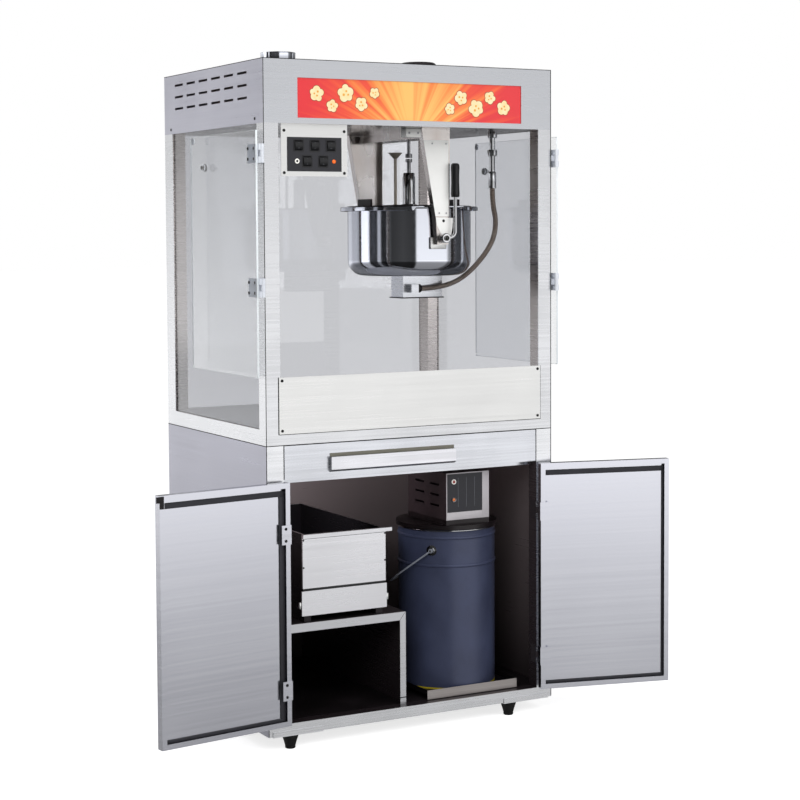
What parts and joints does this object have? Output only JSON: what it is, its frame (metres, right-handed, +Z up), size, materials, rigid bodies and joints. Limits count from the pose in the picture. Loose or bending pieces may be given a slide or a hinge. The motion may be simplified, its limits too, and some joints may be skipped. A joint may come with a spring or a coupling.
{
  "type": "floor-standing popcorn machine",
  "caption": "Floor-standing popcorn machine: glazed popping cabinet with tilting kettle and lit sign over a cupboard base with kernel drawer, corn bin and oil pail with pump.",
  "frame": {"origin": "on the floor, under the middle of the whole box as it stands in the picture with its base doors open", "axes": "+X to the right seen from the front, +Y to the rear, +Z up; the front faces -Y"},
  "size_m": [1.5905, 0.838, 1.899],
  "materials": {
    "satin_stainless": "satin brushed stainless sheet",
    "polished_stainless": "polished stainless",
    "zinc_steel": "zinc-plated steel",
    "clear_glass": "clear tempered glass",
    "clear_acrylic": "clear acrylic sheet",
    "sign_plastic": "printed translucent plastic",
    "lamp_glass": "white lamp tube",
    "black_plastic": "black moulded plastic",
    "black_panel": "black printed overlay",
    "amber_plastic": "amber lens",
    "dark_steel": "dark coated steel",
    "white_steel": "white enamelled steel",
    "blue_grey_paint": "blue-grey painted steel",
    "black_rubber": "black rubber",
    "flex_conduit": "ribbed flexible metal conduit"
  },
  "bodies": {
    "cabinet": {"base_floor": "satin_stainless", "base_frame": "satin_stainless", "base_panels": "satin_stainless", "bin_shelf": "satin_stainless", "cabinet_frame": "satin_stainless", "cabinet_glass": "clear_glass", "ceiling_fittings": "zinc_steel", "control_face": "black_panel", "control_plate": "satin_stainless", "drive_motor": "dark_steel", "exhaust_duct": "polished_stainless", "fixed_hinge_leaves": "polished_stainless", "header_front_panel": "satin_stainless", "header_panels": "satin_stainless", "hood_ceiling": "satin_stainless", "kettle_conduit": "flex_conduit", "kettle_hanger": "white_steel", "levelling_feet": "black_rubber", "lower_front_plate": "satin_stainless", "panel_screws": "zinc_steel", "pilot_lamps": "amber_plastic", "power_inlet": "black_plastic", "roof_panel": "satin_stainless", "sifter_deck": "satin_stainless", "sign_lamp": "lamp_glass", "sign_panel": "sign_plastic", "slide_runners": "zinc_steel"},
    "left_window": {"left_window_pane": "clear_acrylic", "left_window_fittings": "polished_stainless"},
    "right_window": {"right_window_pane": "clear_acrylic", "right_window_fittings": "polished_stainless"},
    "left_base": {"left_base_door": "satin_stainless", "left_base_fittings": "polished_stainless"},
    "right_base": {"right_base_door": "satin_stainless", "right_base_fittings": "polished_stainless"},
    "drawer": {"kernel_drawer": "satin_stainless"},
    "bin": {"corn_bin": "satin_stainless"},
    "pail": {"pail_tray": "satin_stainless", "oil_pail": "blue_grey_paint", "pump_housing": "dark_steel", "pump_face": "black_panel", "pump_lamps": "amber_plastic"},
    "bail": {"pail_bail": "zinc_steel"},
    "kettle": {"kettle_pot": "polished_stainless", "kettle_bridge": "polished_stainless", "heater_box": "satin_stainless", "dump_handle": "polished_stainless", "handle_grip": "black_plastic"},
    "left_lid": {"left_kettle_lid": "dark_steel"},
    "right_lid": {"right_kettle_lid": "dark_steel"},
    "stirrer": {"agitator": "polished_stainless"},
    "drive": {"drive_shaft": "zinc_steel"},
    "fan": {"fan_wheel": "zinc_steel"},
    "rocker_1": {"rocker_switch_1": "black_plastic"},
    "rocker_2": {"rocker_switch_2": "black_plastic"},
    "rocker_3": {"rocker_switch_3": "black_plastic"},
    "rocker_4": {"rocker_switch_4": "black_plastic"},
    "rocker_5": {"rocker_switch_5": "black_plastic"}
  },
  "joints": [
    {"name": "left_window_hinge", "type": "hinge", "parent": "cabinet", "child": "left_window", "pos_m": [-0.46, -0.29999, 1.4215], "axis": [0, 0, 1], "range_deg": [0, 270]},
    {"name": "right_window_hinge", "type": "hinge", "parent": "cabinet", "child": "right_window", "pos_m": [0.46, -0.29999, 1.4215], "axis": [0, 0, -1], "range_deg": [0, 270]},
    {"name": "left_base_hinge", "type": "hinge", "parent": "cabinet", "child": "left_base", "pos_m": [-0.3982, -0.29099, 0.3805], "axis": [0, 0, 1], "range_deg": [0, 172]},
    {"name": "right_base_hinge", "type": "hinge", "parent": "cabinet", "child": "right_base", "pos_m": [0.3982, -0.29099, 0.3805], "axis": [0, 0, -1], "range_deg": [0, 166]},
    {"name": "drawer_slide", "type": "slide", "parent": "cabinet", "child": "drawer", "axis": [0, 1, 0], "range_m": [-0.42, 0]},
    {"name": "bin_slide", "type": "slide", "parent": "cabinet", "child": "bin", "axis": [0, 1, 0], "range_m": [-0.36, 0]},
    {"name": "pail_tray_slide", "type": "slide", "parent": "cabinet", "child": "pail", "axis": [0, 1, 0], "range_m": [-0.26, 0]},
    {"name": "bail_hinge", "type": "hinge", "parent": "pail", "child": "bail", "pos_m": [0.202, -0.10999, 0.486], "axis": [0.7373, 0.6756, 0], "range_deg": [0, 50]},
    {"name": "kettle_tilt", "type": "hinge", "parent": "cabinet", "child": "kettle", "pos_m": [0.155, 0.03401, 1.372], "axis": [0, -1, 0], "range_deg": [0, 120], "deforming": ["kettle_conduit"]},
    {"name": "left_lid_hinge", "type": "hinge", "parent": "kettle", "child": "left_lid", "pos_m": [0.1087, 0.03401, 1.4663], "axis": [0, 1, 0], "range_deg": [0, 80]},
    {"name": "right_lid_hinge", "type": "hinge", "parent": "kettle", "child": "right_lid", "pos_m": [0.1993, 0.03401, 1.4663], "axis": [0, -1, 0], "range_deg": [0, 80]},
    {"name": "drive_spin", "type": "hinge", "parent": "cabinet", "child": "drive", "pos_m": [0.163, 0.03401, 1.633], "axis": [0, 0, 1], "continuous": true},
    {"name": "stirrer_spin", "type": "hinge", "parent": "kettle", "child": "stirrer", "pos_m": [0.163, 0.03401, 1.413], "axis": [0, 0, 1], "continuous": true},
    {"name": "fan_spin", "type": "hinge", "parent": "cabinet", "child": "fan", "pos_m": [-0.243, 0.06401, 1.728], "axis": [0, 0, 1], "continuous": true},
    {"name": "rocker_1_tip", "type": "hinge", "parent": "cabinet", "child": "rocker_1", "pos_m": [-0.339, -0.25449, 1.622], "axis": [1, 0, 0], "range_deg": [0, 20]},
    {"name": "rocker_2_tip", "type": "hinge", "parent": "cabinet", "child": "rocker_2", "pos_m": [-0.291, -0.25449, 1.622], "axis": [1, 0, 0], "range_deg": [0, 20]},
    {"name": "rocker_3_tip", "type": "hinge", "parent": "cabinet", "child": "rocker_3", "pos_m": [-0.243, -0.25449, 1.622], "axis": [1, 0, 0], "range_deg": [0, 20]},
    {"name": "rocker_4_tip", "type": "hinge", "parent": "cabinet", "child": "rocker_4", "pos_m": [-0.314, -0.25449, 1.58], "axis": [1, 0, 0], "range_deg": [0, 20]},
    {"name": "rocker_5_tip", "type": "hinge", "parent": "cabinet", "child": "rocker_5", "pos_m": [-0.266, -0.25449, 1.58], "axis": [1, 0, 0], "range_deg": [0, 20]}
  ],
  "couplings": [
    {"joint": "drive_spin", "follows": "stirrer_spin", "ratio": 1}
  ]
}
